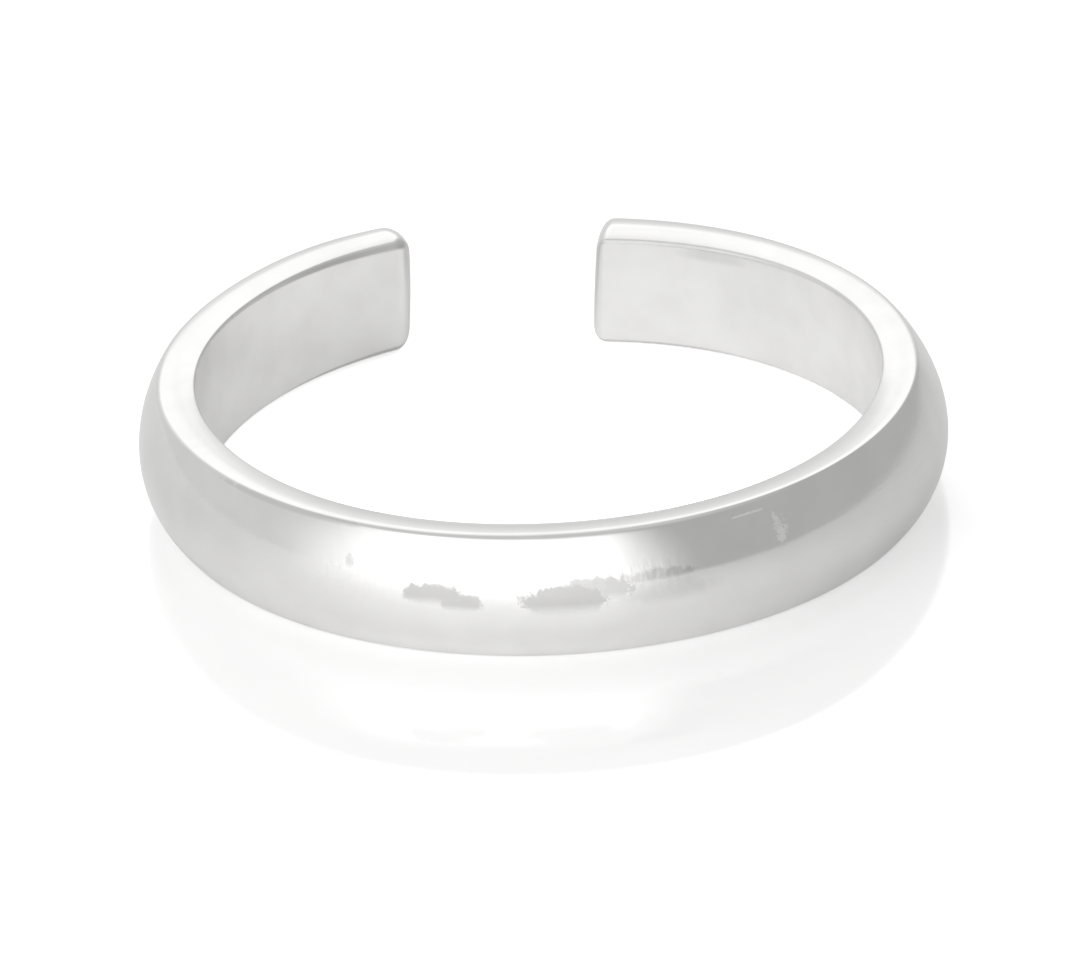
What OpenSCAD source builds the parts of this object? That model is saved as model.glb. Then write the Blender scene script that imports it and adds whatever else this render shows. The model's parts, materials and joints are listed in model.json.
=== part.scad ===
// Toe ring: one open band of half-round silver wire, bent by hand round a toe's size.
// Frame: millimetres, origin on the axis of the main bend at half the band's height, +Z along that axis.
// The opening between the band's ends faces +Y, the middle of the band faces -Y, and it lies on its lower side.

/* [Bend] */
// inner radius of the main bend, which is the toe hole's wall
bend_r = 7.8; // [6.5:0.05:9]
// inner radius of the flatter bend that leads to the left end, at -X
left_bend_r = 8.25; // [7.8:0.05:9]
// inner radius of the tighter bend that leads to the right end, at +X
right_bend_r = 7.6; // [7:0.05:8]
// degrees round from the middle of the band to where the left end's bend starts
left_bend_from = 92; // [70:1:130]
// degrees round from the middle of the band to where the right end's bend starts
right_bend_from = 106; // [70:1:130]
// degrees of the full turn that the opening between the ends takes
opening_angle = 33.4; // [20:0.1:60]

/* [Band section] */
// height of the band, along the ring's axis
band_h = 3.0; // [2:0.1:5]
// thickness of the band, from the inner wall to the top of the dome
band_t = 1.4; // [1.2:0.05:2]
// width of the side face with its rounded inner edge, before the dome begins
side_w = 0.82; // [0.7:0.02:1.1]
// width of the level outer part of each side face, beside the dome
side_level_w = 0.4; // [0.3:0.05:0.6]
// degrees at which the rest of each side face falls towards the inner wall
side_fall = 8; // [0:1:20]
// rounding between the inner wall and each side face
inner_edge_r = 0.12; // [0.05:0.01:0.3]
// rounding between each side face and the dome
dome_edge_r = 0.12; // [0.05:0.01:0.2]

/* [Band ends] */
// rounding of each end's upper and lower corners
end_corner_r = 0.35; // [0.2:0.05:0.6]
// rounding of each end's edge with the inner wall and with the dome
end_edge_r = 0.25; // [0.1:0.05:0.35]

/* [Hidden] */
$fn = 128;

// how far the dome stands out past the side faces, and the radius and centre of its arc
dome_rise = band_t - side_w;
dome_r = (pow(band_h / 2, 2) + pow(dome_rise, 2)) / (2 * dome_rise);
dome_x = band_t - dome_r;

// compass directions in the XY plane, in degrees from +X
front = 270;
opening = 90;

// past the solids, so that no cutter's face lies on one of theirs
past = 1;
// a rounding stops this far short of running level with the face it meets
short = 0.03;

silver = [0.86, 0.86, 0.85];

// The rounding between the upper side face and the dome: the metal outside its arc, to be cut away.
module dome_edge_waste() {
    x = dome_x + sqrt(pow(dome_r - dome_edge_r, 2) - pow(band_h / 2 - dome_edge_r, 2));
    y = band_h / 2 - dome_edge_r;
    reach = dome_r / (dome_r - dome_edge_r);
    difference() {
        polygon([
            [x, y],
            [x, band_h / 2 + past],
            [x + past, band_h / 2 + past],
            [dome_x + (x - dome_x) * reach * 1.2, y * reach * 1.2],
        ]);
        translate([x, y]) circle(dome_edge_r);
    }
}

// The band's half-round section: inner wall on x = 0, side faces above and below, dome towards +x.
module band_section() {
    level_x = side_w - side_level_w;
    inner_y = band_h / 2 - (level_x - inner_edge_r) * tan(side_fall) - inner_edge_r / cos(side_fall);
    fall_x = inner_edge_r * (1 - sin(side_fall));
    fall_y = inner_y + inner_edge_r * cos(side_fall);
    difference() {
        intersection() {
            union() {
                polygon([
                    [0, -inner_y],
                    [fall_x, -fall_y],
                    [level_x, -band_h / 2],
                    [band_t + past, -band_h / 2],
                    [band_t + past, band_h / 2],
                    [level_x, band_h / 2],
                    [fall_x, fall_y],
                    [0, inner_y],
                ]);
                for (y = [-inner_y, inner_y])
                    translate([inner_edge_r, y]) circle(inner_edge_r);
            }
            translate([dome_x, 0]) circle(dome_r);
        }
        dome_edge_waste();
        mirror([0, 1]) dome_edge_waste();
    }
}

// One stretch of band bent to inner radius r, from one direction to another round the point that bends it.
module bent_stretch(r, from, to) {
    rotate_extrude(angle = to - from, start = from)
        translate([r, 0]) band_section();
}

// Bend radius and starting direction of one end: side is 1 for the right end and -1 for the left end.
function end_bend_r(side) = side > 0 ? right_bend_r : left_bend_r;
function end_bend_from(side) = side > 0 ? front + right_bend_from - 360 : front - left_bend_from;
function end_direction(side) = opening - side * opening_angle / 2;

// The point that an end is bent round. It puts the end's bend in line with the main one where they meet.
function end_centre(side) =
    (bend_r - end_bend_r(side)) * [cos(end_bend_from(side)), sin(end_bend_from(side)), 0];

// What lies outside a rounded corner at the origin, of a shape that fills x < 0 and y < 0.
module corner_waste(r) {
    c = short - r;
    translate([c, c]) difference() {
        square(r + past);
        circle(r);
    }
}

// The roundings of one end, cut from an end face on x = 0 with the inner wall on y = 0 and the metal at x < 0.
module end_waste() {
    // upper and lower corners
    for (z = [0, 1])
        mirror([0, 0, z])
            translate([0, band_t + past, band_h / 2])
                rotate([90, 0, 0])
                    linear_extrude(band_t + 2 * past) corner_waste(end_corner_r);
    // edge with the inner wall
    translate([0, 0, -band_h / 2 - past])
        linear_extrude(band_h + 2 * past)
            mirror([0, 1]) corner_waste(end_edge_r);
    // edge with the dome
    translate([0, dome_x, 0])
        rotate([0, 90, 0])
            rotate_extrude(angle = 180, start = 0)
                translate([dome_r, 0])
                    mirror([1, -1]) corner_waste(end_edge_r);
}

// The open band
module band() {
    color(silver)
        difference() {
            union() {
                bent_stretch(bend_r, end_bend_from(-1), end_bend_from(1) + 360);
                translate(end_centre(1))
                    bent_stretch(right_bend_r, end_bend_from(1), end_direction(1));
                translate(end_centre(-1))
                    bent_stretch(left_bend_r, end_direction(-1), end_bend_from(-1));
            }
            for (side = [-1, 1])
                translate(end_centre(side))
                    rotate([0, 0, end_direction(side) - 90])
                        mirror([side > 0 ? 1 : 0, 0, 0])
                            translate([0, end_bend_r(side), 0]) end_waste();
        }
}

band();
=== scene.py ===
"""The looks of a toe ring: one open band of silver, bent and polished by hand, on a glossy white floor.

Lengths are in millimetres and angles in degrees, except where a name ends in _m or _rad. The axes are the
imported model's: +Z along the ring's axis, +Y through the opening between the band's ends. A bend angle is
measured round the ring from the middle of the band, which faces -Y, and grows towards +X, the right end's
side. Light comes from directions given in the same way, with an elevation above the floor.
"""

import json
import logging
import math
from dataclasses import astuple, dataclass, field
from enum import Enum

import bpy
import numpy as np
from mathutils import Matrix, Vector, noise


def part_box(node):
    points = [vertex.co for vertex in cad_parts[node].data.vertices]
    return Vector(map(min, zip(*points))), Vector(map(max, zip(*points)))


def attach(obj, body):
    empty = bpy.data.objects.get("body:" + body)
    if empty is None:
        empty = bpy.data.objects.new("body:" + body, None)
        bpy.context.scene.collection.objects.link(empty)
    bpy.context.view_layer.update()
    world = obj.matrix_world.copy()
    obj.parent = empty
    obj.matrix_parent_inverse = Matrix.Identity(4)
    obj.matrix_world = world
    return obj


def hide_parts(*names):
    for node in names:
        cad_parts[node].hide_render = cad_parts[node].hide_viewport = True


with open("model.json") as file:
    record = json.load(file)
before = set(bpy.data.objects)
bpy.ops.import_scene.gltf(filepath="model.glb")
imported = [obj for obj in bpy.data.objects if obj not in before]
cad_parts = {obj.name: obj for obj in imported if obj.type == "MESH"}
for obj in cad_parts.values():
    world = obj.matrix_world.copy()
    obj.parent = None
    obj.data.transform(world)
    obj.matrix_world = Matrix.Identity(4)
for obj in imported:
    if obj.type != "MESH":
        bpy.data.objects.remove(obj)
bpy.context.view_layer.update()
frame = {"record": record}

LOG = logging.getLogger("toe_ring")
MM = 0.001

Number = float | int
Operand = "Signal | Number"
# where a smooth step is still 0, and where it has become 1
Fade = tuple[float, float]

# how far the metal faces away from the ring's axis where it turns into the inner wall, and into the dome
WALL_FACING = (-0.15, -0.6)
DOME_FACING = (0.3, 0.6)


class Kind(Enum):
    """What a socket carries, with the node that does arithmetic on it."""

    VALUE = "ShaderNodeMath"
    VECTOR = "ShaderNodeVectorMath"
    SHADER = "none"


class Signal:
    """An output socket of a shader graph. Arithmetic on it adds the nodes that work the result out."""

    def __init__(self, graph: "Graph", socket: bpy.types.NodeSocket, kind: Kind = Kind.VALUE) -> None:
        """Wraps one output socket.

        Args:
            graph: The graph that the socket belongs to.
            socket: The output socket.
            kind: What it carries.
        """
        self.graph = graph
        self.socket = socket
        self.kind = kind

    def math(self, operation: str, *others: Operand) -> "Signal":
        """Adds one node of arithmetic.

        Args:
            operation: The node's operation, as Blender names it.
            others: The operands after this signal.

        Returns:
            The node's result.
        """
        return self.graph.arithmetic(self.kind, operation, self, *others)

    def __add__(self, other: Operand) -> "Signal":
        """This signal plus another."""
        return self.math("ADD", other)

    def __sub__(self, other: Operand) -> "Signal":
        """This signal minus another."""
        return self.math("SUBTRACT", other)

    def __mul__(self, other: Operand) -> "Signal":
        """This signal times another."""
        return self.math("MULTIPLY", other)

    def __truediv__(self, other: Operand) -> "Signal":
        """This signal divided by another."""
        return self.math("DIVIDE", other)

    def __neg__(self) -> "Signal":
        """This signal with its sign turned."""
        return self.math("MULTIPLY", -1.0)

    def __pow__(self, other: Number) -> "Signal":
        """This signal to a power."""
        return self.math("POWER", other)

    def step(self, start: Number, end: Number) -> "Signal":
        """A smooth step up or down.

        Args:
            start: Where the step is still 0.
            end: Where it has become 1. It may lie below start.

        Returns:
            A signal from 0 to 1.
        """
        inputs = {"Value": self, "From Min": start, "From Max": end}
        return self.graph.add("ShaderNodeMapRange", {"interpolation_type": "SMOOTHSTEP"}, inputs)

    def wrap(self, half_turn: Number) -> "Signal":
        """This angle brought between minus and plus half a turn."""
        return self.math("WRAP", half_turn, -half_turn)


class Graph:
    """A node tree that is written as Python expressions."""

    def __init__(self, tree: bpy.types.NodeTree) -> None:
        """Takes a node tree over and empties it.

        Args:
            tree: The tree of a material or of the world.
        """
        self.tree = tree
        tree.nodes.clear()

    def place(self, node_type: str, settings: dict, inputs: dict) -> bpy.types.Node:
        """Places any node.

        Args:
            node_type: The node's class, as Blender names it.
            settings: The node's own settings, which are set first.
            inputs: A value or a signal for each socket, by the socket's identifier.

        Returns:
            The node.
        """
        node = self.tree.nodes.new(node_type)
        for name, setting in settings.items():
            setattr(node, name, setting)
        sockets = {socket.identifier: socket for socket in node.inputs}
        for name, value in inputs.items():
            if isinstance(value, Signal):
                self.tree.links.new(value.socket, sockets[name])
            else:
                sockets[name].default_value = value
        return node

    def add(
        self,
        node_type: str,
        settings: dict,
        inputs: dict,
        output: str | None = None,
        kind: Kind = Kind.VALUE,
    ) -> Signal:
        """Places any node and hands one of its outputs back.

        Args:
            node_type: The node's class, as Blender names it.
            settings: The node's own settings, which are set first.
            inputs: A value or a signal for each socket, by the socket's identifier.
            output: The output's identifier, or None for the first one.
            kind: What the output carries.

        Returns:
            The output.
        """
        outputs = self.place(node_type, settings, inputs).outputs
        socket = outputs[0] if output is None else {s.identifier: s for s in outputs}[output]
        return Signal(self, socket, kind)

    def arithmetic(self, kind: Kind, operation: str, *operands: Operand) -> Signal:
        """Adds one Math or Vector Math node.

        Args:
            kind: What the result is.
            operation: The node's operation. A vector can only be multiplied by a number.
            operands: Its operands in order.

        Returns:
            The node's result.
        """
        if kind is Kind.VECTOR:
            inputs = dict(zip(("Vector", "Scale"), operands))
            return self.add(kind.value, {"operation": "SCALE"}, inputs, kind=kind)
        inputs = dict(zip(("Value", "Value_001", "Value_002"), operands))
        return self.add(kind.value, {"operation": operation}, inputs)

    def join(self, x: Operand, y: Operand, z: Operand) -> Signal:
        """Three numbers as one vector."""
        return self.add("ShaderNodeCombineXYZ", {}, {"X": x, "Y": y, "Z": z}, kind=Kind.VECTOR)

    def grey(self, value: Operand) -> Signal:
        """One number as a grey colour."""
        return self.join(value, value, value)

    def split(self, vector: Signal) -> list[Signal]:
        """The three numbers of a vector."""
        node = self.place("ShaderNodeSeparateXYZ", {}, {"Vector": vector})
        return [Signal(self, socket) for socket in node.outputs]

    def dot(self, first: Signal, second: Signal) -> Signal:
        """The dot product of two vectors."""
        inputs = {"Vector": first, "Vector_001": second}
        return self.add(Kind.VECTOR.value, {"operation": "DOT_PRODUCT"}, inputs, "Value")

    def cloud(self, place: Signal, size: Number, detail: Number) -> Signal:
        """A soft noise.

        Args:
            place: Where it is read.
            size: The size of its lumps, in the units of place.
            detail: How many finer layers it has.

        Returns:
            The noise, from about -1 to 1.
        """
        inputs = {"Vector": place, "Scale": 1 / size, "Detail": detail}
        return self.add("ShaderNodeTexNoise", {}, inputs) * 2 - 1

    def mix(self, share: Operand, first: Operand, second: Operand) -> Signal:
        """Mixes two numbers.

        Args:
            share: How much of the second one shows.
            first: The first number.
            second: The second number.

        Returns:
            The mixed number.
        """
        inputs = {"Factor_Float": share, "A_Float": first, "B_Float": second}
        return self.add("ShaderNodeMix", {"data_type": "FLOAT"}, inputs, "Result_Float")

    def mix_colours(self, share: Operand, first: "Signal | tuple", second: "Signal | tuple") -> Signal:
        """Mixes two colours.

        Args:
            share: How much of the second one shows.
            first: The first colour.
            second: The second colour.

        Returns:
            The mixed colour.
        """
        inputs = {"Factor_Float": share, "A_Color": first, "B_Color": second}
        return self.add("ShaderNodeMix", {"data_type": "RGBA"}, inputs, "Result_Color", Kind.VECTOR)


def new_material(name: str) -> tuple[bpy.types.Material, Graph]:
    """Makes an empty material.

    Args:
        name: Its name.

    Returns:
        The material, and the graph to fill it with.
    """
    material = bpy.data.materials.new(name)
    material.use_nodes = True
    return material, Graph(material.node_tree)


def azimuth_of(x: Signal, y: Signal) -> Signal:
    """The azimuth, in degrees, of a place or a direction."""
    return x.math("ARCTAN2", -y) * math.degrees(1)


def spline(knots: np.ndarray, values: np.ndarray, at: np.ndarray) -> np.ndarray:
    """A natural cubic spline through rows of values.

    Args:
        knots: Where the rows stand, in rising order.
        values: One row of values for each knot.
        at: Where the spline is read, of any shape.

    Returns:
        The values there, with the values' columns as the last axis.
    """
    gap = np.diff(knots)
    slope = np.diff(values, axis=0) / gap[:, None]
    count = len(knots)
    matrix = np.eye(count)
    right = np.zeros_like(values)
    for i in range(1, count - 1):
        matrix[i, i - 1 : i + 2] = gap[i - 1], 2 * (gap[i - 1] + gap[i]), gap[i]
        right[i] = 6 * (slope[i] - slope[i - 1])
    bend = np.linalg.solve(matrix, right)
    i = np.clip(np.searchsorted(knots, at) - 1, 0, count - 2)
    step = gap[i][..., None]
    near = (at - knots[i])[..., None] / step
    far = 1 - near
    curved = (far**3 - far) * bend[i] + (near**3 - near) * bend[i + 1]
    return far * values[i] + near * values[i + 1] + curved * step**2 / 6


@dataclass
class ViewPoint:
    """The camera, at the angle from which the ring was photographed."""

    azimuth: float = -7.85
    elevation: float = 25.88
    roll: float = -2.61
    distance: float = 229.9
    focal_length: float = 339.1
    sensor_width: float = 36.0
    target: tuple[float, float, float] = (-0.58, -3.05, 0.0)
    clip_near: float = 23.0
    clip_far: float = 100_000.0

    def axes(self) -> tuple[Vector, Vector, Vector]:
        """Works out how the camera is turned.

        Returns:
            Its right and up directions, and the direction from the target back to it.
        """
        back = direction(self.azimuth, self.elevation)
        turn = Matrix.Rotation(math.radians(self.roll), 3, back)
        right = Vector((-back.y, back.x, 0)).normalized()
        return turn @ right, turn @ back.cross(right), back

    def build(self) -> bpy.types.Object:
        """Makes the camera.

        Returns:
            The camera's object.
        """
        data = bpy.data.cameras.new("camera")
        data.lens = self.focal_length
        data.sensor_width = self.sensor_width
        data.clip_start = self.clip_near * MM
        data.clip_end = self.clip_far * MM
        camera = bpy.data.objects.new("camera", data)
        bpy.context.scene.collection.objects.link(camera)
        right, up, back = self.axes()
        turned = Matrix((right, up, back)).transposed().to_4x4()
        place = (Vector(self.target) + back * self.distance) * MM
        camera.matrix_world = Matrix.Translation(place) @ turned
        bpy.context.scene.camera = camera
        return camera


def direction(azimuth: float, elevation: float) -> Vector:
    """The direction from the ring to something round it.

    Args:
        azimuth: The bend angle of the side where it is.
        elevation: Its angle above the floor.

    Returns:
        The direction as a unit vector.
    """
    turn, rise = math.radians(azimuth), math.radians(elevation)
    return Vector((math.sin(turn) * math.cos(rise), -math.cos(turn) * math.cos(rise), math.sin(rise)))


@dataclass(frozen=True)
class SoftBox:
    """A broad soft light with fading borders.

    Attributes:
        centre: The azimuth of its middle.
        left: How far left of its middle its light is full, and where it ends.
        right: The same on the right.
        top: The elevation up to which its light is full, and where it ends.
        bottom: The same downwards.
        brightness: Its brightness high up.
        low_brightness: Its brightness near the floor.
        low_to_full: Between which elevations the one turns into the other.
    """

    centre: float
    left: tuple[float, float]
    right: tuple[float, float]
    top: tuple[float, float]
    bottom: tuple[float, float]
    brightness: float
    low_brightness: float
    low_to_full: Fade = (4.0, 36.0)

    def share(self, azimuth: Signal, elevation: Signal) -> Signal:
        """How much of this light comes from each direction.

        Args:
            azimuth: The direction's azimuth.
            elevation: The direction's elevation.

        Returns:
            A signal from 0 to 1.
        """
        aside = (azimuth - self.centre).wrap(180)
        share = aside.step(self.left[1], self.left[0]) * aside.step(self.right[1], self.right[0])
        share = share * elevation.step(self.top[1], self.top[0])
        return share * elevation.step(self.bottom[1], self.bottom[0])

    def shade(self, graph: Graph, elevation: Signal) -> Signal:
        """This light's brightness at each elevation."""
        return graph.mix(elevation.step(*self.low_to_full), self.low_brightness, self.brightness)


@dataclass
class Studio:
    """The soft light: a large soft box in front, a white sweep behind, and a dimmer room all round.

    Attributes:
        wall_fade: The azimuths between which the left wall turns into the right one.
        ceiling_fade: The elevations between which the walls turn into the ceiling.
        backdrop: The brightness that the camera sees past the floor.
        boxes: The soft lights, of which a later one covers the earlier ones.
    """

    left_wall: float = 0.69
    right_wall: float = 0.47
    wall_fade: Fade = (-40.0, 30.0)
    ceiling: float = 0.64
    ceiling_fade: Fade = (50.0, 75.0)
    backdrop: float = 1.05
    boxes: list[SoftBox] = field(
        default_factory=lambda: [
            SoftBox(-28, (-14, -66), (28, 62), (44, 60), (-2, -8), 1.5, 1.5),
            SoftBox(172, (-16, -32), (19, 50), (50, 88), (-2, -8), 1.06, 0.72),
            SoftBox(172, (-5, -9), (5, 9), (30, 38), (25, 22), 1.15, 1.15),
            SoftBox(162, (-8, -16), (7, 9.5), (36, 58), (24, 19), 1.16, 1.16),
            SoftBox(182, (-7, -9.5), (8, 16), (36, 58), (24, 19), 1.16, 1.16),
        ]
    )

    def build(self) -> bpy.types.World:
        """Lights the scene.

        Returns:
            The world that gives the light.
        """
        world = bpy.data.worlds.new("studio")
        world.use_nodes = True
        bpy.context.scene.world = world
        graph = Graph(world.node_tree)
        x, y, z = graph.split(graph.add("ShaderNodeTexCoord", {}, {}, "Generated", Kind.VECTOR))
        azimuth = azimuth_of(x, y)
        elevation = z.math("ARCSINE") * math.degrees(1)
        light = graph.mix(azimuth.step(*self.wall_fade), self.left_wall, self.right_wall)
        light = graph.mix(elevation.step(*self.ceiling_fade), light, self.ceiling)
        for box in self.boxes:
            light = graph.mix(box.share(azimuth, elevation), light, box.shade(graph, elevation))
        looking = graph.add("ShaderNodeLightPath", {}, {}, "Is Camera Ray")
        light = graph.mix(looking, light, self.backdrop)
        shine = graph.add("ShaderNodeBackground", {}, {"Color": graph.grey(light)}, kind=Kind.SHADER)
        graph.place("ShaderNodeOutputWorld", {}, {"Surface": shine})
        view = bpy.context.scene.view_settings
        view.view_transform = "Standard"
        view.look = "None"
        return world


@dataclass(frozen=True)
class Zones:
    """Where the floor's light differs. Azimuths and distances are counted from the ring's axis.

    Attributes:
        inside: Distances, for the floor inside the ring.
        front: Angles from front_azimuth, for the floor before the ring.
        near: Angles from near_azimuth, for the floor close beside and behind the ring.
        near_reach: Distances, for the same.
        right: Places across, for the right part of the floor.
        corner_aside: How far aside the two far corners of the floor inside the ring lie.
        corner_back: How far back they lie.
    """

    inside: Fade = (9.5, 7.0)
    front_azimuth: float = -20.0
    front: Fade = (90.0, 0.0)
    near_azimuth: float = -12.0
    near: Fade = (75.0, 105.0)
    near_reach: Fade = (18.0, 10.0)
    right: Fade = (-5.0, 3.0)
    corner_aside: Fade = (1.5, 5.0)
    corner_back: Fade = (1.0, 4.0)

    def read(self, graph: Graph) -> tuple[Signal, Signal, Signal, Signal, Signal]:
        """Works out which zone each place of the floor lies in.

        Args:
            graph: The graph that asks.

        Returns:
            Signals from 0 to 1 for the floor inside the ring, before it, close beside and behind it, on the
            right, and in the far corners of its inside.
        """
        place = graph.add("ShaderNodeTexCoord", {}, {}, "Object", Kind.VECTOR) * (1 / MM)
        x, y, _ = graph.split(place)
        radius = (x * x + y * y) ** 0.5
        azimuth = azimuth_of(x, y)
        front = (azimuth - self.front_azimuth).math("ABSOLUTE").step(*self.front)
        near = (azimuth - self.near_azimuth).math("ABSOLUTE").step(*self.near)
        near = near * radius.step(*self.near_reach)
        corner = x.math("ABSOLUTE").step(*self.corner_aside) * y.step(*self.corner_back)
        return radius.step(*self.inside), front, near, x.step(*self.right), corner


@dataclass
class Floor:
    """The glossy white floor under the ring, in two layers: one to look at, and one that lights the ring.

    Attributes:
        white: How much light both layers throw back.
        glow: How much light the layer to look at gives by itself, near the ring and inside it differently.
        sheen_share: How much of that layer's light is mirrored.
        light_side: How much light the lighting layer throws back beside and behind the ring.
        light_glow: How much light it gives by itself there, and differently before the ring.
        light_glow_inside: The same inside the ring, on the left and on the right.
        light_glow_corners: How much more it gives in the two far corners there.
        light_depth: How far it lies below the other layer.
        zones: Where those parts of the floor lie.
    """

    radius: float = 1500.0
    sides: int = 96
    white: float = 0.9
    glow: float = 0.28
    glow_near: float = 0.45
    glow_inside: float = 0.7
    sheen_share: float = 0.2
    sheen_roughness: float = 0.05
    light_side: float = 0.76
    light_glow: float = 0.08
    light_glow_front: float = 0.21
    light_glow_inside: tuple[float, float] = (0.09, 0.22)
    light_glow_corners: tuple[float, float] = (0.14, 0.05)
    light_ior: float = 1.7
    light_roughness: float = 0.2
    light_depth: float = 0.01
    zones: Zones = Zones()

    def build(self, height: float) -> list[bpy.types.Object]:
        """Makes the floor.

        Args:
            height: Where the ring's lower side is.

        Returns:
            The layer that the camera sees, and the one just below it that the ring sees.
        """
        seen = self.layer("floor", height, self.even_gloss())
        light = self.layer("floor_light", height - self.light_depth, self.deep_gloss())
        seen.visible_diffuse = seen.visible_glossy = seen.visible_transmission = seen.visible_shadow = False
        light.visible_camera = False
        return [seen, light]

    def layer(self, name: str, height: float, material: bpy.types.Material) -> bpy.types.Object:
        """Makes one layer.

        Args:
            name: The name of its object.
            height: Where it lies.
            material: Its finish.

        Returns:
            The layer's object.
        """
        turns = np.linspace(0, math.tau, self.sides, endpoint=False)
        rim = np.stack([np.cos(turns), np.sin(turns), np.zeros(self.sides)], axis=-1) * self.radius
        mesh = bpy.data.meshes.new(name)
        mesh.from_pydata(((rim + (0, 0, height)) * MM).tolist(), [], [list(range(self.sides))])
        mesh.materials.append(material)
        floor = bpy.data.objects.new(name, mesh)
        bpy.context.scene.collection.objects.link(floor)
        return floor

    def even_gloss(self) -> bpy.types.Material:
        """Makes the finish to look at.

        Returns:
            A bright white material with a faint even mirror on it.
        """
        material, graph = new_material("glossy_white")
        white = (self.white, self.white, self.white, 1)
        matt = graph.add("ShaderNodeBsdfDiffuse", {}, {"Color": white}, kind=Kind.SHADER)
        mirror_inputs = {"Color": (1, 1, 1, 1), "Roughness": self.sheen_roughness}
        mirror = graph.add("ShaderNodeBsdfAnisotropic", {}, mirror_inputs, kind=Kind.SHADER)
        parts = {"Fac": self.sheen_share, "Shader": matt, "Shader_001": mirror}
        mixed = graph.add("ShaderNodeMixShader", {}, parts, kind=Kind.SHADER)
        inside, _, near, _, _ = self.zones.read(graph)
        glow = graph.mix(inside, graph.mix(near, self.glow, self.glow_near), self.glow_inside)
        shine = graph.add("ShaderNodeEmission", {}, {"Color": graph.grey(glow)}, kind=Kind.SHADER)
        lit = graph.add("ShaderNodeAddShader", {}, {"Shader": mixed, "Shader_001": shine}, kind=Kind.SHADER)
        graph.place("ShaderNodeOutputMaterial", {}, {"Surface": lit})
        return material

    def deep_gloss(self) -> bpy.types.Material:
        """Makes the finish that the ring mirrors.

        Returns:
            A white material that mirrors more at low angles.
        """
        material, graph = new_material("glossy_white_light")
        inside, front, _, right, corner = self.zones.read(graph)
        white = graph.mix(inside.math("MAXIMUM", front), self.light_side, self.white)
        glow = graph.mix(front, self.light_glow, self.light_glow_front)
        glow_inside = graph.mix(right, *self.light_glow_inside)
        glow_inside = glow_inside + corner * graph.mix(right, *self.light_glow_corners)
        inputs = {
            "Base Color": graph.grey(white),
            "Roughness": self.light_roughness,
            "IOR": self.light_ior,
            "Emission Color": graph.grey(graph.mix(inside, glow, glow_inside)),
            "Emission Strength": 1.0,
        }
        gloss = graph.add("ShaderNodeBsdfPrincipled", {}, inputs, kind=Kind.SHADER)
        graph.place("ShaderNodeOutputMaterial", {}, {"Surface": gloss})
        return material


@dataclass(frozen=True)
class Station:
    """How the hand-bent band departs from its plain bends at one bend angle.

    Attributes:
        bend_angle: Where it is round the ring.
        outward: How much further out the inner wall lies.
        side: How much further the side faces reach from the inner wall.
        thickness: How much thicker the band is.
        inner_edge: How much rounder the inner wall's edges are.
        lean: How much further out the band's upper side lies than its middle.
        side_roll: How far the side faces are rolled inwards, in degrees.
        side_crown: How much more the side faces fall towards the dome, in degrees.
    """

    bend_angle: float
    outward: float
    side: float
    thickness: float
    inner_edge: float
    lean: float
    side_roll: float
    side_crown: float = 0.0


@dataclass(frozen=True)
class Wave:
    """One size of the fine unevenness that bending and polishing left on the metal."""

    length: float
    width: float
    height: float


@dataclass(frozen=True)
class BandEnd:
    """The shape of one end of the band.

    Attributes:
        bend_angle: Where its face is round the ring.
        edge: The rounding of its edges with the inner wall and with the dome.
        corner: The rounding of its upper and lower corners.
        slant: How much further its upper side reaches than its middle.
        crown: How much further its middle reaches than its upper and lower side do on average.
    """

    bend_angle: float
    edge: float
    corner: float
    slant: float
    crown: float


@dataclass(frozen=True)
class Surface:
    """What a shader graph knows of each place on the band's surface.

    Attributes:
        place: The place itself.
        along: Its distance round the ring from the middle of the band, in the middle of the metal.
        dome_along: The same, on the dome.
        z: Its height.
        radius: Its distance from the ring's axis.
        facing: How far the metal faces away from the axis, from -1 on the inner wall to 1 on the dome.
        leaning: How far it faces up or down, from 0 to 1.
        inside: Whether it is the inner wall, from 0 to 1.
        outside: Whether it is the dome, from 0 to 1.
    """

    place: Signal
    along: Signal
    dome_along: Signal
    z: Signal
    radius: Signal
    facing: Signal
    leaning: Signal
    inside: Signal
    outside: Signal

    @classmethod
    def read(cls, graph: Graph, middle_radius: float, dome_radius: float) -> "Surface":
        """Works these out from the band's own coordinates.

        Args:
            graph: The graph that asks.
            middle_radius: The distance of the middle of the metal from the ring's axis.
            dome_radius: The distance of the dome from it.

        Returns:
            The surface.
        """
        place = graph.add("ShaderNodeTexCoord", {}, {}, "Object", Kind.VECTOR) * (1 / MM)
        normal = graph.add("ShaderNodeTexCoord", {}, {}, "Normal", Kind.VECTOR)
        x, y, z = graph.split(place)
        radius = (x * x + y * y) ** 0.5
        along = x.math("ARCTAN2", -y) * middle_radius
        facing = graph.dot(normal, graph.join(x / radius, y / radius, 0.0))
        leaning = graph.split(normal)[2].math("ABSOLUTE")
        inside, outside = facing.step(*WALL_FACING), facing.step(*DOME_FACING)
        dome_along = along * (dome_radius / middle_radius)
        return cls(place, along, dome_along, z, radius, facing, leaning, inside, outside)


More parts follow.
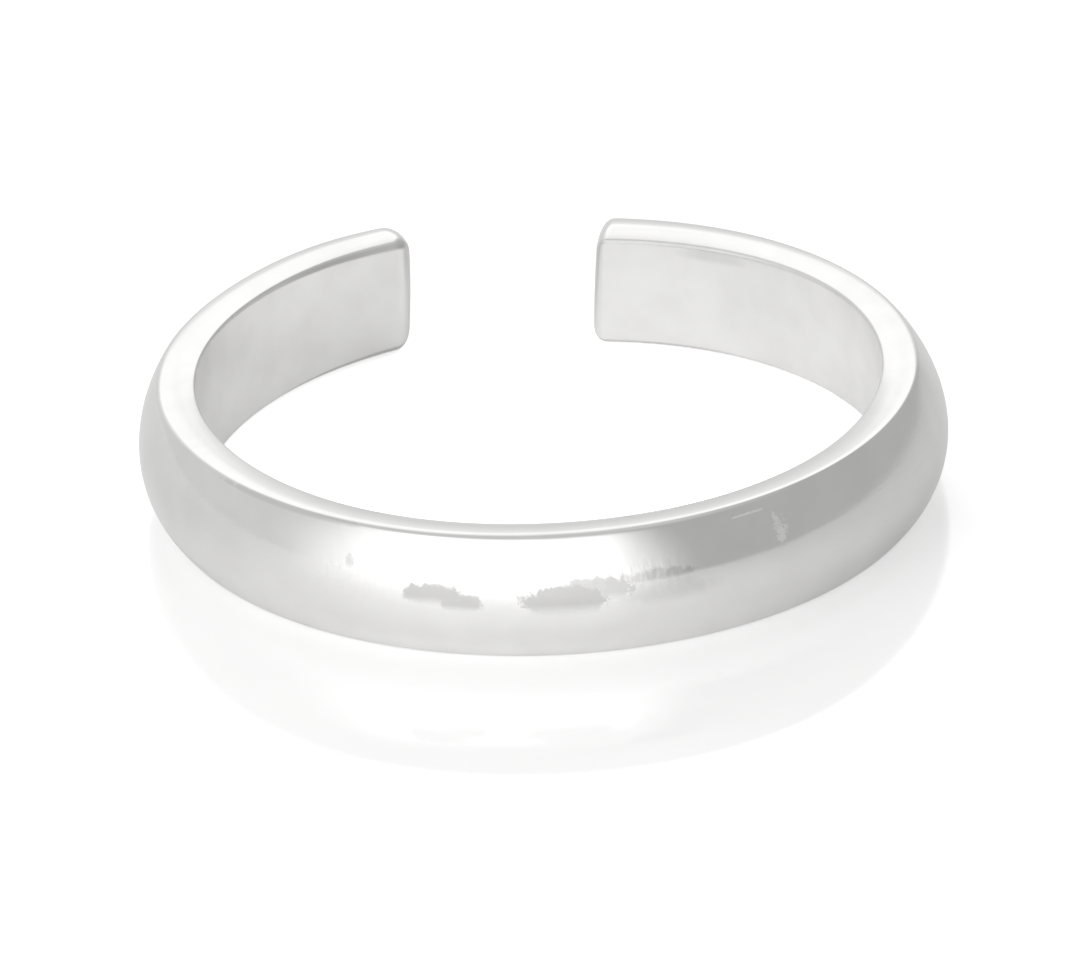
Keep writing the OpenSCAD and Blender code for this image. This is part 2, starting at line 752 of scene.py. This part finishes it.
@dataclass(frozen=True)
class Mark:
    """A ragged oval on the metal, rougher like a worn spot. Its grey is painted reflection on the dome and
    painted shade on the inner wall.

    Attributes:
        bend_angle: Where its middle is round the ring.
        height: The height of its middle.
        half_length: Half its length round the ring.
        half_height: Half its height.
        grey: How much of the painted shade's grey shows in it.
        roughness: How much rougher the metal is in it.
        soft_foot: How far up it fades in from its foot, as a share of half its height.
        fading: How broadly it fades at its edge.
        fraying: How far the noise moves its edge.
        edge: The squared distance from its middle, in half sizes, at which it ends.
        on_wall: Whether it is on the inner wall instead of the dome.
    """

    bend_angle: float
    height: float
    half_length: float
    half_height: float
    grey: float
    roughness: float
    soft_foot: float = 0.9
    fading: float = 0.45
    fraying: float = 0.9
    edge: float = 1.15
    on_wall: bool = False

    def share(self, surface: Surface, ragged: Signal) -> Signal:
        """How much of the mark shows at each place.

        Args:
            surface: The band's surface.
            ragged: A noise that frays the mark's edge.

        Returns:
            A signal from 0 to 1.
        """
        middle = math.radians(self.bend_angle) * Silver.dome_radius
        aside = (surface.dome_along - middle) / self.half_length
        above = (surface.z - self.height) / self.half_height
        reach = aside * aside + above * above + ragged * self.fraying
        share = reach.step(self.edge, self.edge - self.fading) * above.step(-1, self.soft_foot - 1)
        return share * (surface.inside if self.on_wall else surface.outside)


@dataclass(frozen=True)
class Grain:
    """A noise on the metal.

    Attributes:
        stretch: What the distances round the ring, up and outwards are multiplied by before it is read.
        size: The size of its lumps.
        detail: How many finer layers it has.
    """

    stretch: tuple[float, float, float]
    size: float
    detail: int

    def read(self, graph: Graph, surface: Surface) -> Signal:
        """Lays the noise round the band.

        Args:
            graph: The graph that asks.
            surface: The band's surface.

        Returns:
            The noise, from about -1 to 1.
        """
        distances = (surface.along, surface.z, surface.radius)
        stretched = [d if factor == 1 else d * factor for d, factor in zip(distances, self.stretch)]
        return graph.cloud(graph.join(*stretched), self.size, self.detail)


@dataclass(frozen=True)
class Silver:
    """Hand-polished silver: bright on the dome, satin on the inner wall, with fine marks all over. Grey
    marks and folds on it are painted reflection and painted shade.

    Attributes:
        dull_shares: How much of the dull colour shows in patches on the dome, and on the inner wall.
        middle_radius: The distance of the middle of the metal from the ring's axis.
        fold_painted_shade: How much painted shade darkens the inner wall's edges at the left end, between,
            and at the right end.
        fold_facing: How far the metal faces away from the axis on those edges. It leans by fold_leaning.
        fold_left: Between which distances round the ring the left end's painted shade fades in.
        brushed_from: The same for the brushed part of the dome.
        frayed_left: The same for the torn part of the dome.
        frayed_foot: Between which heights that fades in.
        tears: The noise that frays the marks' edges, together with the lumps.
        line_heights: How high the lines stand on plain, and on brushed metal.
        fine_heights: How high the finest grain stands on the dome, and on the inner wall.
    """

    colour: tuple[float, float, float] = (0.87, 0.867, 0.86)
    dull_colour: tuple[float, float, float] = (0.78, 0.776, 0.767)
    # the grey of the painted reflections and the painted shade
    painted_shade_colour: tuple[float, float, float] = (0.5, 0.497, 0.49)
    dull_shares: tuple[float, float] = (0.45, 0.55)
    dull_from: Fade = (-0.5, 0.7)
    roughness: float = 0.12
    satin_roughness: float = 0.3
    middle_radius: float = 8.5
    dome_radius: float = 9.2
    fold_painted_shade: tuple[float, float, float] = (0.5, 0.0, 0.32)
    fold_roughness: float = 0.25
    fold_facing: Fade = (-0.5, -0.85)
    fold_leaning: Fade = (0.12, 0.35)
    fold_left: Fade = (-20.5, -22.2)
    fold_right: Fade = (19.5, 21.5)
    brushed_from: Fade = (4.0, 9.0)
    brushed_roughness: float = 0.1
    frayed_left: Fade = (-7.2, -6.2)
    frayed_right: Fade = (3.0, 0.5)
    frayed_foot: Fade = (-0.3, 0.1)
    frayed_top: Fade = (1.1, 0.4)
    frayed_height: float = 0.004
    mottle: Grain = Grain((1, 1, 1), 1.0, 2)
    lines: Grain = Grain((0.25, 4, 4), 0.35, 2)
    lumps: Grain = Grain((2.2, 1, 1), 0.4, 3)
    tears: Grain = Grain((1, 1.5, 1), 0.07, 1)
    tears_share: float = 0.4
    fine_size: float = 0.16
    fine_detail: int = 1
    mottle_rough: float = 0.02
    lines_rough: float = 0.015
    fine_rough: float = 0.01
    mottle_height: float = 0.0006
    line_heights: tuple[float, float] = (0.0003, 0.001)
    fine_heights: tuple[float, float] = (0.0001, 0.0008)
    marks: tuple[Mark, ...] = (
        # marks with grey are painted reflections of dark surroundings on the dome (the grey spots under the
        # highlight, the dark streak beside it, the dark line along the dome's upper edge) and painted shade
        # below the right end's fold on the inner wall; marks with grey 0 only make the metal rougher
        Mark(-24.5, 0.22, 0.70, 0.28, 0.56, 0.4),
        Mark(-20.5, 0.08, 0.50, 0.24, 0.50, 0.4),
        Mark(-6.0, 0.12, 1.00, 0.38, 0.54, 0.4),
        Mark(-2.0, 0.30, 0.90, 0.32, 0.36, 0.35),
        Mark(26.7, 0.83, 0.2, 0.34, 0.0, 0.45, 0.3, fading=1.1, fraying=2.0),
        Mark(22.7, 1.28, 0.5, 0.03, 0.0, 0.4),
        Mark(7.0, 0.47, 0.95, 0.19, 0.5, 0.0, fading=0.8),
        Mark(8.5, 0.1, 1.3, 0.4, 0.35, 0.0, fading=1.15, fraying=0.5),
        Mark(-37.3, 0.73, 0.12, 0.19, 0.4, 0.1, fading=0.9, fraying=2.0),
        Mark(-50.0, 1.43, 2.3, 0.07, 0.3, 0.0),
        Mark(139.0, 1.18, 1.2, 0.24, 0.3, 0.0, fading=1.15, fraying=0.25, on_wall=True),
    )

    def wear_and_painted_shade(self, graph: Graph, surface: Surface, lumps: Signal) -> tuple[Signal, Signal]:
        """Lays out the marks, with their painted reflection and painted shade, and the painted shade on the
        folds at both ends.

        Args:
            graph: The material's graph.
            surface: The band's surface.
            lumps: The noise of small lumps.

        Returns:
            How much of the painted shade's grey shows at each place, and how much rougher the metal is
            there.
        """
        ragged = lumps + self.tears.read(graph, surface) * self.tears_share
        grey, worn = 0.0, 0.0
        for mark in self.marks:
            share = mark.share(surface, ragged)
            # painted reflection on the dome and painted shade on the inner wall, as grey in the metal's
            # colour
            grey = (share * mark.grey).math("MAXIMUM", grey)
            worn = (share * mark.roughness).math("MAXIMUM", worn)
        # painted shade along the inner wall's edges, where the side faces fold into the wall
        fold = surface.facing.step(*self.fold_facing) * surface.leaning.step(*self.fold_leaning)
        at_left, between, at_right = self.fold_painted_shade
        fold_painted_shade = graph.mix(surface.along.step(*self.fold_right), between, at_right)
        fold_painted_shade = graph.mix(surface.along.step(*self.fold_left), fold_painted_shade, at_left)
        grey = grey.math("MAXIMUM", fold * fold_painted_shade)
        return grey, worn.math("MAXIMUM", fold * self.fold_roughness)

    def frayed(self, surface: Surface) -> Signal:
        """Where the front of the dome is torn up.

        Args:
            surface: The band's surface.

        Returns:
            A signal from 0 to 1.
        """
        across = surface.dome_along.step(*self.frayed_left) * surface.dome_along.step(*self.frayed_right)
        up = surface.z.step(*self.frayed_foot) * surface.z.step(*self.frayed_top)
        return across * up * surface.outside

    def build(self) -> bpy.types.Material:
        """Makes the material.

        Returns:
            The silver.
        """
        material, graph = new_material("hand_polished_silver")
        surface = Surface.read(graph, self.middle_radius, self.dome_radius)
        mottle = self.mottle.read(graph, surface)
        lines = self.lines.read(graph, surface)
        lumps = self.lumps.read(graph, surface)
        fine = graph.cloud(surface.place, self.fine_size, self.fine_detail)
        brushed = surface.along.step(*self.brushed_from) * surface.outside
        grey, worn = self.wear_and_painted_shade(graph, surface, lumps)
        worn = worn.math("MAXIMUM", brushed * self.brushed_roughness)
        dull = mottle.step(*self.dull_from) * graph.mix(surface.inside, *self.dull_shares)
        colour = graph.mix_colours(dull, (*self.colour, 1), (*self.dull_colour, 1))
        # painted reflection and painted shade: the marks and folds darken the metal's colour towards this
        # grey
        colour = graph.mix_colours(grey, colour, (*self.painted_shade_colour, 1))
        rough = graph.mix(surface.inside, self.roughness, self.satin_roughness)
        rough = rough + mottle * self.mottle_rough + lines * self.lines_rough + fine * self.fine_rough + worn
        height = lines * graph.mix(brushed, *self.line_heights)
        height = height + fine * graph.mix(surface.inside, *self.fine_heights) + mottle * self.mottle_height
        height = height + lumps * self.frayed(surface) * self.frayed_height
        bump = graph.add("ShaderNodeBump", {}, {"Distance": MM, "Height": height}, kind=Kind.VECTOR)
        inputs = {"Base Color": colour, "Metallic": 1.0, "Roughness": rough, "Normal": bump}
        metal = graph.add("ShaderNodeBsdfPrincipled", {}, inputs, kind=Kind.SHADER)
        graph.place("ShaderNodeOutputMaterial", {}, {"Surface": metal})
        return material


def arcs(
    x: np.ndarray,
    z: np.ndarray,
    radius: np.ndarray,
    start: np.ndarray,
    end: np.ndarray,
    steps: int,
) -> np.ndarray:
    """Draws an arc at each station, without its last point.

    Args:
        x: The centres' distances from the inner wall.
        z: The centres' heights.
        radius: The arcs' radii.
        start: The directions in which they start, in radians.
        end: The directions in which they end.
        steps: How many points each one has.

    Returns:
        For each station, the points of its arc.
    """
    turn = start[:, None] + (end - start)[:, None] * np.arange(steps) / steps
    across = x[:, None] + radius[:, None] * np.cos(turn)
    up = z[:, None] + radius[:, None] * np.sin(turn)
    return np.stack([across, up], axis=-1)


@dataclass
class Band:
    """The band: half-round silver wire, bent in one main bend and a bend to each end.

    Attributes:
        main_radius: The inner radius of its main bend.
        left_radius: The inner radius of the bend to its left end, which starts at left_from.
        side_width: How far its side faces reach from the inner wall.
        inner_edge: The rounding between them and the inner wall.
        outer_edge: The rounding between them and the dome.
        side_fall_inside: How steeply they fall at the inner wall, in degrees.
        side_fall_outside: How steeply they fall at the dome.
        dome_droop: How far the dome's outline leans, so that it is fullest below its middle.
        end_zone: How far from each end its sections lie closer together.
        slant_length: How far from each end its slant and its crown reach.
        cap_loops: The sizes of the loops that close an end face, as shares of its outline.
        cap_bulge: How far an end face bulges out.
        steps_along: How many sections lie between its end zones.
    """

    height: float
    main_radius: float
    left_radius: float = 8.25
    right_radius: float = 7.6
    left_from: float = -92.0
    right_from: float = 106.0
    thickness: float = 1.38
    side_width: float = 0.745
    inner_edge: float = 0.08
    outer_edge: float = 0.19
    side_fall_inside: float = 12.0
    side_fall_outside: float = 2.0
    dome_droop: float = 0.05
    left_end: BandEnd = BandEnd(-164.2, edge=0.52, corner=0.47, slant=0.04, crown=0.05)
    right_end: BandEnd = BandEnd(163.2, edge=0.3, corner=0.36, slant=-0.125, crown=0.03)
    end_zone: float = 0.5
    slant_length: float = 2.5
    cap_loops: tuple[float, ...] = (0.75, 0.5, 0.25)
    cap_bulge: float = 0.02
    stations: tuple[Station, ...] = (
        Station(-163.3, -0.020, 0.080, 0.00, 0.14, -0.060, 8.0, 16.0),
        Station(-150.0, 0.065, 0.125, 0.03, 0.09, -0.020, 4.0, 12.0),
        Station(-135.0, 0.090, 0.050, 0.02, 0.04, 0.000, 3.0, 10.0),
        Station(-110.0, 0.100, 0.015, 0.01, 0.00, 0.025, 1.0, 5.0),
        Station(-80.0, 0.047, 0.006, 0.02, 0.00, 0.023, -2.0),
        Station(-40.0, 0.013, 0.001, 0.04, 0.00, 0.027, 2.0),
        Station(0.0, 0.009, -0.005, 0.04, 0.00, -0.011, 3.0),
        Station(40.0, 0.049, -0.023, 0.03, 0.00, -0.052, 4.0),
        Station(80.0, 0.029, -0.033, 0.01, 0.00, -0.075, 0.0),
        Station(115.0, -0.014, 0.015, 0.03, 0.03, -0.080, 1.0, 5.5),
        Station(140.0, -0.150, 0.210, 0.15, 0.04, -0.125, 5.0, 14.0),
        Station(163.3, -0.330, 0.350, 0.25, 0.03, -0.160, 6.0, 17.0),
    )
    waves: tuple[Wave, ...] = (
        Wave(6.0, 4.0, 0.006),
        Wave(1.7, 1.3, 0.0012),
        Wave(0.5, 0.7, 0.0003),
    )
    steps_along: int = 520
    steps_at_end: int = 14
    steps_dome: int = 48
    steps_edge: int = 6
    steps_side: int = 14
    steps_inner_edge: int = 10
    steps_wall: int = 22

    def bend_angles_rad(self) -> np.ndarray:
        """The bend angles of the sections, closer together where the ends are rounded.

        Returns:
            The angles in rising order.
        """
        zone = math.degrees(self.end_zone / self.main_radius)
        ease = 1 - np.cos(np.linspace(0, math.pi / 2, self.steps_at_end, endpoint=False))
        first, last = self.left_end.bend_angle, self.right_end.bend_angle
        middle = np.linspace(first + zone, last - zone, self.steps_along)
        return np.radians(np.concatenate([first + zone * ease, middle, (last - zone * ease)[::-1]]))

    def wall_line(self, angle: np.ndarray) -> tuple[np.ndarray, np.ndarray]:
        """Where the plain bends put the inner wall.

        Args:
            angle: Bend angles in radians, of any shape.

        Returns:
            The wall's points in plan and the outward directions there.
        """
        outward = np.stack([np.sin(angle), -np.cos(angle)], axis=-1)
        point = self.main_radius * outward
        bends = ((self.left_from, self.left_radius), (self.right_from, self.right_radius))
        for start, radius in bends:
            turn = math.radians(start)
            centre = (self.main_radius - radius) * np.array([math.sin(turn), -math.cos(turn)])
            past = math.copysign(1, turn) * (angle - turn) > 0
            point[past] = centre + radius * outward[past]
        return point, outward

    def section(
        self,
        side: np.ndarray,
        thickness: np.ndarray,
        inner_edge: np.ndarray,
        side_roll: np.ndarray,
        side_crown: np.ndarray,
    ) -> np.ndarray:
        """The outline of the band's half-round section at each station.

        Args:
            side: How far each side face reaches from the inner wall, one for each station.
            thickness: The band's thickness there.
            inner_edge: The rounding between the inner wall and the side faces there.
            side_roll: How far the side faces are rolled inwards, in degrees.
            side_crown: How much more the side faces fall towards the dome, in degrees.

        Returns:
            For each station, its outline's points: distance from the inner wall, and height.
        """
        fall_in = np.radians(self.side_fall_inside + side_roll)
        fall_out = np.radians(self.side_fall_outside - side_roll + side_crown)
        tilt_in, tilt_out = np.sin(fall_in), np.sin(fall_out)
        top = self.height / 2
        crown_r = side - inner_edge + inner_edge * tilt_in + self.outer_edge * tilt_out
        crown_r = crown_r / (tilt_in + tilt_out)
        crown_x = inner_edge + (crown_r - inner_edge) * tilt_in
        inner_z = top - crown_r + (crown_r - inner_edge) * np.cos(fall_in)
        edge_z = top - crown_r + (crown_r - self.outer_edge) * np.cos(fall_out)
        short = side - thickness
        dome_r = (self.outer_edge**2 - short**2 - edge_z**2) / (2 * (short + self.outer_edge))
        dome_x = thickness - dome_r
        dome_from = np.arctan2(edge_z, side - dome_x)
        level = np.full_like(side, math.pi / 2)
        inner_turn, outer_turn = level + fall_in, level - fall_out
        outer = np.full_like(side, self.outer_edge)
        upper = [
            arcs(inner_edge, inner_z, inner_edge, 2 * level, inner_turn, self.steps_inner_edge),
            arcs(crown_x, top - crown_r, crown_r, inner_turn, outer_turn, self.steps_side),
            arcs(side, edge_z, outer, outer_turn, dome_from, self.steps_edge),
        ]
        dome = arcs(dome_x, 0 * side, dome_r, dome_from, -dome_from, self.steps_dome)
        share = dome[..., 1] / dome[:, :1, 1]
        dome[..., 0] -= self.dome_droop * dome[..., 1] * (1 - share**2)
        upper = np.concatenate(upper, axis=1)
        lower = np.concatenate([dome[:, :1], upper[:, :0:-1]], axis=1) * (1, -1)
        wall_z = np.linspace(-1, 1, self.steps_wall + 1)[:-1] * inner_z[:, None]
        wall = np.stack([0 * wall_z, wall_z], axis=-1)
        return np.concatenate([upper, dome, lower, wall], axis=1)

    def end_shape(self, section: np.ndarray, angle: np.ndarray) -> tuple[np.ndarray, np.ndarray]:
        """Rounds the edges and corners of both ends.

        Args:
            section: The sections' outlines.
            angle: The sections' bend angles in radians.

        Returns:
            The outlines drawn in towards the ends, and the bend angle of every point.
        """
        section = section.copy()
        angles = np.repeat(angle[:, None], section.shape[1], axis=1)
        middle = np.array([self.thickness / 2, 0])
        half = np.array([self.thickness / 2, self.height / 2])
        for end in (self.left_end, self.right_end):
            sign = math.copysign(1, end.bend_angle)
            away = np.abs(angle - math.radians(end.bend_angle)) * (self.main_radius + self.thickness / 2)
            radii = np.array([end.edge, end.corner])
            left_over = np.clip(radii - away[:, None], 0, None)
            inset = radii - np.sqrt(radii**2 - left_over**2)
            shrink = 1 - inset / half
            section = middle + (section - middle) * shrink[:, None, :]
            rise = section[..., 1] / half[1]
            reach = end.slant * rise + end.crown * (0.5 - rise**2)
            fade = np.clip(1 - away / self.slant_length, 0, 1)[:, None] ** 2
            angles = angles + sign * fade * reach / self.main_radius
        return section, angles

    def points(self) -> np.ndarray:
        """Places the sections round the ring.

        Returns:
            For each section, its outline's points in space.
        """
        angle = self.bend_angles_rad()
        rows = np.array([astuple(station) for station in self.stations])
        knots = np.radians(rows[:, 0])
        change = spline(knots, rows[:, 1:], angle)
        plain = np.array([self.side_width, self.thickness, self.inner_edge, 0, 0])
        section = self.section(*(plain + change[:, [1, 2, 3, 5, 6]]).T)
        section, angles = self.end_shape(section, angle)
        point, outward = self.wall_line(angles)
        change = spline(knots, rows[:, 1:], angles)
        out = section[..., 0] + change[..., 0] + change[..., 4] * section[..., 1] / (self.height / 2)
        plan = point + out[..., None] * outward
        return np.concatenate([plan, section[..., 1:]], axis=-1)

    def mesh(self) -> bpy.types.Mesh:
        """Joins the sections into one closed surface.

        Returns:
            The band's mesh.
        """
        points = self.points()
        sections, around = points.shape[:2]
        index = np.arange(sections * around).reshape(sections, around)
        following = np.roll(index, -1, axis=1)
        quads = np.stack([index[:-1], following[:-1], following[1:], index[1:]], axis=-1)
        faces = quads.reshape(-1, 4).tolist()
        vertices = points.reshape(-1, 3).tolist()
        self.cap(vertices, faces, index[0], self.left_end)
        self.cap(vertices, faces, index[-1], self.right_end)
        mesh = bpy.data.meshes.new("band")
        mesh.from_pydata((np.array(vertices) * MM).tolist(), [], faces)
        mesh.shade_smooth()
        return mesh

    def cap(self, vertices: list, faces: list, outline: np.ndarray, end: BandEnd) -> None:
        """Closes one end with a face that bulges a little.

        Args:
            vertices: The mesh's vertices, to which the face's own are added.
            faces: The mesh's faces, likewise.
            outline: Which vertices are the end's outline.
            end: The end.
        """
        rim = np.array([vertices[i] for i in outline])
        centre = rim.mean(axis=0)
        turn, sign = math.radians(end.bend_angle), math.copysign(1, end.bend_angle)
        outside = sign * np.array([math.cos(turn), math.sin(turn), 0])
        order = int(sign)
        last = outline
        for share in self.cap_loops:
            bulge = outside * self.cap_bulge * (1 - share**2)
            loop = np.arange(len(vertices), len(vertices) + len(outline))
            vertices += (centre + (rim - centre) * share + bulge).tolist()
            quads = np.stack([last, np.roll(last, -1), np.roll(loop, -1), loop], axis=-1)
            faces += quads[:, ::order].tolist()
            last = loop
        tip = np.full(len(outline), len(vertices))
        vertices.append((centre + outside * self.cap_bulge).tolist())
        faces += np.stack([last, np.roll(last, -1), tip], axis=-1)[:, ::order].tolist()

    def unevenness(self, mesh: bpy.types.Mesh) -> None:
        """Moves the surface in and out by the waves that handwork left.

        Args:
            mesh: The band's mesh.
        """
        count = len(mesh.vertices)
        points = np.empty(count * 3)
        mesh.vertices.foreach_get("co", points)
        points = points.reshape(-1, 3)
        normals = np.empty(count * 3)
        mesh.vertex_normals.foreach_get("vector", normals)
        normals = normals.reshape(-1, 3)
        place = points / MM
        radius = np.hypot(place[:, 0], place[:, 1])
        along = np.arctan2(place[:, 0], -place[:, 1]) * self.main_radius
        shift = np.zeros(count)
        for wave in self.waves:
            at = np.stack([along / wave.length, place[:, 2] / wave.width, radius / wave.width], axis=-1)
            shift += wave.height * np.array([noise.noise(Vector(p)) for p in at.tolist()])
        moved = points + normals * shift[:, None] * MM
        mesh.vertices.foreach_set("co", moved.ravel())
        mesh.update()

    def build(self, silver: Silver) -> bpy.types.Object:
        """Makes the band and dresses it.

        Args:
            silver: Its finish.

        Returns:
            The band's object.
        """
        mesh = self.mesh()
        self.unevenness(mesh)
        mesh.materials.append(silver.build())
        band = bpy.data.objects.new("silver_band", mesh)
        bpy.context.scene.collection.objects.link(band)
        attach(band, "root")
        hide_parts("band")
        return band


def report(piece: bpy.types.Object) -> None:
    """Logs a piece's name, its size and its number of faces."""
    size = ", ".join(f"{side / MM:.2f}" for side in piece.dimensions)
    LOG.info("%s: %s mm, %d faces", piece.name, size, len(piece.data.polygons))


def main() -> None:
    """Builds the camera, the light, the floor and the ring, and logs the band's size and number of faces."""
    logging.basicConfig(level=logging.INFO, format="%(name)s: %(message)s")
    low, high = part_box("band")
    hole = next(mount for mount in frame["record"]["mounts"] if mount["name"] == "toe_hole")
    ViewPoint().build()
    Studio().build()
    Floor().build(low.z / MM)
    band = Band(height=(high.z - low.z) / MM, main_radius=hole["dims"]["r_mm"])
    report(band.build(Silver()))


if __name__ == "__main__":
    main()
